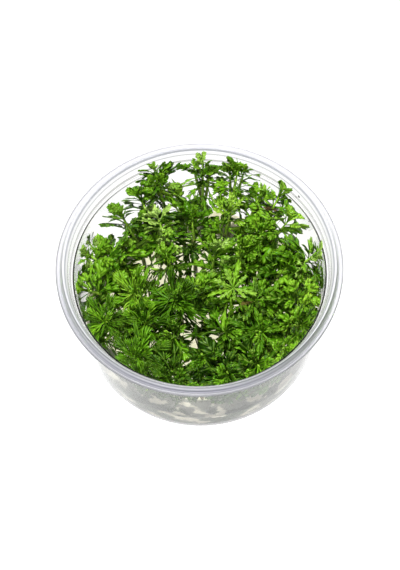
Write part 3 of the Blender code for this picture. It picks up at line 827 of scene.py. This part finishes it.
def shoot_tree():
    """The tree that dresses stems' lines: tapered stems, and leaves in closing whorls."""
    tree = bpy.data.node_groups.new("whorled_shoot", "GeometryNodeTree")
    for name, kind in (
            ("Stem Lines", "NodeSocketGeometry"), ("Foot Radius", "NodeSocketFloat"),
            ("Tip Radius", "NodeSocketFloat"), ("Whorls", "NodeSocketInt"),
            ("Leaves in Whorl", "NodeSocketInt"), ("Leafy Length", "NodeSocketFloat"),
            ("Leaf Length", "NodeSocketFloat"), ("Seed", "NodeSocketInt"),
            ("Leaf Shapes", "NodeSocketCollection"), ("Finish", "NodeSocketMaterial"),
            ("Wall at Foot", "NodeSocketFloat"), ("Wall Slope", "NodeSocketFloat"),
            ("Ledge Height", "NodeSocketFloat"), ("Lid Height", "NodeSocketFloat"),
            ("Shade", "NodeSocketFloat"), ("Openings", "NodeSocketObject"),
            ("Rise", "NodeSocketFloat"), ("First Size", "NodeSocketFloat"),
            ("Lost Leaves", "NodeSocketFloat")):
        tree.interface.new_socket(name, in_out="INPUT", socket_type=kind)
    tree.interface.new_socket("Shoot", in_out="OUTPUT", socket_type="NodeSocketGeometry")
    nodes = Nodes(tree)
    given = nodes.add("NodeGroupInput")
    seed = given["Seed"]
    number = nodes.add("GeometryNodeInputIndex")

    def chance(low, high, salt, each=number):
        return nodes.add("FunctionNodeRandomValue", {"data_type": "FLOAT"},
                         {"Min_001": low, "Max_001": high, "ID": each, "Seed": seed * 37 + salt},
                         "Value_001")

    def turn(rotation, x, y, z):
        angles = nodes.add("ShaderNodeCombineXYZ", None, {"X": x, "Y": y, "Z": z})
        by = nodes.add("FunctionNodeEulerToRotation", None, {0: angles})
        return nodes.add("FunctionNodeRotateRotation", {"rotation_space": "LOCAL"},
                         {0: rotation, 1: by})

    def store(geometry, name, value, domain):
        return nodes.add("GeometryNodeStoreNamedAttribute",
                         {"data_type": "FLOAT", "domain": domain},
                         {"Geometry": geometry, "Name": name, "Value": value})

    lines = nodes.add("GeometryNodeMeshToCurve", None, {"Mesh": given["Stem Lines"]})
    size = nodes.add("GeometryNodeInputNamedAttribute", {"data_type": "FLOAT"},
                     {"Name": "stem_size"}, "Attribute")
    along = nodes.add("GeometryNodeSplineParameter", None, None, "Factor")
    lines = store(lines, "leaf_age", 1 - along, "POINT")
    taper = 1 - along ** 12 * 0.8
    radius = (given["Foot Radius"] * (1 - along) + given["Tip Radius"] * along) * size * taper
    section = nodes.add("GeometryNodeCurvePrimitiveCircle", None,
                        {"Resolution": STEM_SIDES, "Radius": 1.0})
    stem = nodes.add("GeometryNodeCurveToMesh", None,
                     {"Curve": lines, "Profile Curve": section, "Scale": radius,
                      "Fill Caps": True})
    stem = store(stem, "stem_part", 1.0, "POINT")

    each = given["Whorls"] * given["Leaves in Whorl"]
    count = nodes.add("GeometryNodeAttributeDomainSize", {"component": "CURVE"},
                      {"Geometry": lines}, "Spline Count")
    points = nodes.add("GeometryNodePoints", None, {"Count": count * each})
    stalk = (number / each + 0.001).math("FLOOR")
    place = number - stalk * each
    whorl = (place / given["Leaves in Whorl"] + 0.001).math("FLOOR")
    slot = place - whorl * given["Leaves in Whorl"]
    ring = stalk * 19 + whorl
    share = whorl / (given["Whorls"] - 1)
    length = nodes.add("GeometryNodeSampleIndex", {"domain": "CURVE"},
                       {"Geometry": lines, "Value": nodes.add("GeometryNodeSplineLength"),
                        "Index": stalk})
    own_size = nodes.add("GeometryNodeSampleCurve", {"mode": "LENGTH"},
                         {"Curves": lines, "Value": size, "Length": length * 0.5,
                          "Curve Index": stalk}, "Value")
    drop = given["Leafy Length"] * own_size * share ** 1.5 + chance(0.0, 0.0009, 1)
    spot = nodes.add("GeometryNodeSampleCurve", {"mode": "LENGTH"},
                     {"Curves": lines, "Length": length - drop, "Curve Index": stalk}, "Position")
    upright = nodes.add("FunctionNodeAlignRotationToVector", {"axis": "Z"},
                        {"Vector": spot["Tangent"]})
    upright = turn(upright, chance(-TILT, TILT, 8, ring), chance(-TILT, TILT, 9, ring), 0.0)
    swing = slot * (math.tau / LEAVES_IN_WHORL) + whorl * WHORL_TURN + chance(-SWING, SWING, 2)
    rise = (1 - share) ** 1.5 * given["Rise"] + chance(-RISE_VARIES, RISE_VARIES, 3) - 0.04
    rotation = turn(upright, 0.0, 0.0, swing)
    rotation = turn(rotation, 0.0, -1 * rise, 0.0)
    rotation = turn(rotation, chance(-LEAF_ROLL, LEAF_ROLL, 4), 0.0, 0.0)
    grown = (share * 0.75 + given["First Size"]).math("MINIMUM", 1.0)
    leaf_size = given["Leaf Length"] * grown * own_size * chance(*LEAVES_VARY, 5)
    shapes = nodes.add("GeometryNodeCollectionInfo", None,
                       {"Collection": given["Leaf Shapes"], "Separate Children": True,
                        "Reset Children": True})
    older = ((share - 0.25) * 2.2).held()
    pick = (older * (LEAF_SHAPES_EACH / 2)
            + chance(0.0, LEAF_SHAPES_EACH / 2 - 0.01, 6)).math("FLOOR")
    kept = chance(0.0, 1.0, 10) - share * given["Lost Leaves"]
    placed = nodes.add("GeometryNodeSetPosition", None, {"Geometry": points, "Position": spot})
    reach = nodes.add("ShaderNodeCombineXYZ", None, {"X": leaf_size * 0.55})
    reach = nodes.add("FunctionNodeRotateVector", None, {"Vector": reach, "Rotation": rotation})
    middle = nodes.add("ShaderNodeVectorMath", {"operation": "ADD"}, {0: spot, 1: reach})
    openings = nodes.add("GeometryNodeObjectInfo", None, {"Object": given["Openings"]},
                         "Geometry")
    apart = nodes.add("GeometryNodeProximity", {"target_element": "EDGES"},
                      {"Target": openings, "Source Position": middle}, "Distance")
    leaves = nodes.add("GeometryNodeInstanceOnPoints", None,
                       {"Points": placed, "Instance": shapes, "Pick Instance": True,
                        "Selection": (apart - OPEN_REACH).math("MINIMUM", kept * 0.001)
                        .math("GREATER_THAN", 0.0),
                        "Instance Index": pick, "Rotation": rotation, "Scale": leaf_size})
    leaves = store(leaves, "leaf_tint", chance(0.0, 1.0, 7), "INSTANCE")
    # Each leaf's age is its whorl's, so low leaves are darker, partly as painted shade, with the
    # shoot's shade added
    leaves = store(leaves, "leaf_age", share * 1.05 + given["Shade"], "INSTANCE")
    leaves = nodes.add("GeometryNodeRealizeInstances", None, {0: leaves})
    both = nodes.add("GeometryNodeJoinGeometry")
    tree.links.new(stem.output, both.made.inputs[0])
    tree.links.new(leaves.output, both.made.inputs[0])

    def soft_limit(value, limit, give):
        """A value that closes in on a limit without reaching it, from a give below it on."""
        start = limit - give
        over = (value - start).math("MAXIMUM", 0.0)
        return value.math("MINIMUM", start) + give * (1 - (over * (-1 / give)).math("EXPONENT"))

    where = nodes.add("GeometryNodeInputPosition")
    parts = nodes.add("ShaderNodeSeparateXYZ", None, {0: where})
    reach = (parts["X"] * parts["X"] + parts["Y"] * parts["Y"]).math("SQRT") + 0.000001
    flare = (parts["Z"] - given["Ledge Height"]).math("MAXIMUM", 0.0) * RIM_FLARE
    wall = given["Wall at Foot"] + parts["Z"] * given["Wall Slope"] + flare
    squeeze = soft_limit(reach, wall, WALL_GIVE) / reach
    height = soft_limit(parts["Z"], given["Lid Height"], LID_GIVE)
    pressed = nodes.add("ShaderNodeCombineXYZ", None,
                        {"X": parts["X"] * squeeze, "Y": parts["Y"] * squeeze, "Z": height})
    both = nodes.add("GeometryNodeSetPosition", None, {"Geometry": both, "Position": pressed})
    both = nodes.add("GeometryNodeSetShadeSmooth", None, {"Geometry": both})
    whole = nodes.add("GeometryNodeRealizeInstances", None, {0: both})
    finished = nodes.add("GeometryNodeSetMaterial", None,
                         {"Geometry": whole, "Material": given["Finish"]})
    nodes.add("NodeGroupOutput", None, {0: finished})
    return tree


def stem_path(tip):
    """The stem's line: straight up out of the gel, then bowing out to the growing tip."""
    foot = Vector((tip.x * ROOT_PULL, tip.y * ROOT_PULL, GEL_TOP - ROOT_DEPTH))
    neck = Vector((foot.x, foot.y, GEL_TOP + NECK_HEIGHT))
    bow = Vector((neck.x, neck.y, neck.z + (tip.z - neck.z) * BOW_SHARE))
    yield foot
    yield from arched(neck, bow, tip)


def arched(start, knee, end):
    """Points along an arch from a start to an end, drawn towards a knee."""
    for step in range(STEM_STEPS + 1):
        share = step / STEM_STEPS
        rest = 1 - share
        yield start * rest * rest + knee * 2 * rest * share + end * share * share


def side_paths(path, tip, chance):
    """Side shoots rise to lower tips beside the stem's own; at the wall, two lean along it, and
    at the back of the cup they make one crown with the stem's own tip."""
    clustered = tip.y > CLUSTERED_FROM
    edge = math.hypot(tip.x, tip.y) > EDGE_RADIUS and tip.y < EDGE_TO
    for side in (-1, 1) if edge or clustered else range(SIDE_SHOOTS):
        start = path[round(len(path) * chance.uniform(*SIDE_START))]
        turn = chance.uniform(0.0, math.tau)
        if edge:
            turn = math.atan2(tip.y, tip.x) + side * chance.uniform(*EDGE_TURN)
        reach = chance.uniform(*(CROWN_REACH if clustered else SIDE_REACH))
        drop = chance.uniform(*(CROWN_DROP if clustered else SIDE_DROP))
        end = tip + Vector((reach * math.cos(turn), reach * math.sin(turn), -drop))
        end *= min(1.0, SIDE_LIMIT / math.hypot(end.x, end.y))
        end.z = min(end.z, SIDE_CEILING)
        knee = Vector((end.x, end.y, start.z + (end.z - start.z) * 0.35)).lerp(start, 0.25)
        yield list(arched(start, knee, end))


def opening_lines():
    """Lines of sight from above through the foliage, which leaves keep clear of."""
    points = []
    for x, y in OPENINGS:
        low = Vector((x, y, GEL_TOP))
        points += [low, low + (camera.matrix_world.translation - low).normalized() * OPEN_LENGTH]
    mesh = bpy.data.meshes.new("openings")
    mesh.from_pydata(points, [(low, low + 1) for low in range(0, len(points), 2)], [])
    return new_object("openings", mesh)


def grow(name, tip, kind, shade, finish, tree, seed, chance):
    """One shoot as a plain mesh, from its stems' lines and the tree."""
    main = list(stem_path(tip))
    points = []
    edges = []
    thick = []
    for path in (main, *side_paths(main, tip, chance)):
        edges += [(len(points) + step, len(points) + step + 1) for step in range(len(path) - 1)]
        points += path
        thick += [1.0 if path is main else SIDE_SIZE] * len(path)
    lines = bpy.data.meshes.new(f"{name}_lines")
    lines.from_pydata(points, edges, [])
    sizes = lines.attributes.new("stem_size", "FLOAT", "POINT")
    sizes.data.foreach_set("value", thick)
    guide = new_object(f"{name}_guide", lines)
    growth = guide.modifiers.new("Growth", "NODES")
    growth.node_group = tree
    sizes = {
        "Foot Radius": STEM_FOOT_RADIUS, "Tip Radius": STEM_TIP_RADIUS, "Whorls": WHORLS,
        "Leaves in Whorl": LEAVES_IN_WHORL, "Leafy Length": LEAFY_LENGTH,
        "Leaf Length": LEAF_LENGTH * chance.uniform(*SHOOTS_VARY), "Seed": seed,
        "Leaf Shapes": leaf_sets[kind], "Finish": finish,
        "Wall at Foot": WALL_FOOT_RADIUS - WALL - WALL_CLEARANCE,
        "Wall Slope": math.tan(WALL_LEAN), "Ledge Height": LEDGE_HEIGHT,
        "Lid Height": LID_HEIGHT, "Openings": openings,
        "Rise": HABITS[kind][0], "First Size": HABITS[kind][1],
        "Lost Leaves": LOST_AT_BACK if tip.y > BACK_FROM else LOST_LEAVES,
        # The shade, with painted shade in front and painted light at the back
        "Shade": SHADES[shade] + chance.uniform(-SHADE_VARIES, SHADE_VARIES) + (
            max(0.0, -tip.y) * SHADE_PAINTED_IN_FRONT - max(0.0, tip.y) * LIGHT_PAINTED_AT_BACK),
    }
    for socket in tree.interface.items_tree:
        if socket.name in sizes and socket.in_out == "INPUT":
            growth[socket.identifier] = sizes[socket.name]
    bpy.context.view_layer.update()
    seen = guide.evaluated_get(bpy.context.evaluated_depsgraph_get())
    mesh = bpy.data.meshes.new_from_object(seen)
    mesh.name = name
    bpy.data.objects.remove(guide)
    return new_object(name, mesh)


tree = shoot_tree()
openings = opening_lines()
for number, (kind, shade, tip) in enumerate(SHOOTS, start=1):
    slot = list(leaf_finishes)[number % len(leaf_finishes)]
    shoot = grow(f"plantlet_{number:02d}", Vector(tip), kind, shade, leaf_finishes[slot], tree,
                 number, random.Random(SEEDS.get(number, number)))
    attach(shoot, "root")
    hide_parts(f"shoot_{number:02d}")

bpy.data.objects.remove(openings)
for leaf_set in leaf_sets.values():
    for item in list(leaf_set.objects):
        bpy.data.objects.remove(item)
    bpy.data.collections.remove(leaf_set)


# The specks: crumbs of old leaf and root that cling inside the cup at its back, high up. They
# lie flat on the plastic.
SPECK_FLATNESS = 0.4
SPECK_COLOURS = ((0.02, 0.018, 0.02, 1.0), (0.09, 0.08, 0.08, 1.0))
LEDGE_LEAN = 0.2
# Each speck's turn round the cup from the right in degrees, its height and its size
SPECKS = ((67.5, 0.0478, 0.00034), (36.7, 0.0497, 0.00056), (38.2, 0.0482, 0.00034),
          (34.0, 0.0385, 0.00034), (25.3, 0.0460, 0.00038))

speck_shape = bmesh.new()
for turn, height, size in SPECKS:
    radius = wall_radius(height, WALL)
    if height > LEDGE_HEIGHT:
        radius = LEDGE_RADIUS + (height - LEDGE_HEIGHT) * LEDGE_LEAN
    spot = Matrix.Rotation(math.radians(turn), 4, "Z") @ Matrix.Translation(
        (radius - size * SPECK_FLATNESS, 0.0, height))
    bmesh.ops.create_icosphere(speck_shape, subdivisions=2, radius=size,
                               matrix=spot @ Matrix.Diagonal((SPECK_FLATNESS, 1.0, 1.0, 1.0)))
speck_mesh = bpy.data.meshes.new("leaf_specks")
speck_shape.to_mesh(speck_mesh)
speck_shape.free()
speck_mesh.shade_smooth()
speck_finish, nodes, shader = new_material("dried_crumb", roughness=0.7)
crumble = nodes.noise(nodes.add("ShaderNodeTexCoord", output="Object"), 5000.0)
nodes.feed(shader, {"Base Color": nodes.mix(crumble, *SPECK_COLOURS)})
specks = new_object("leaf_specks", speck_mesh, speck_finish)
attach(specks, "root")
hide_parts("shoot_04")
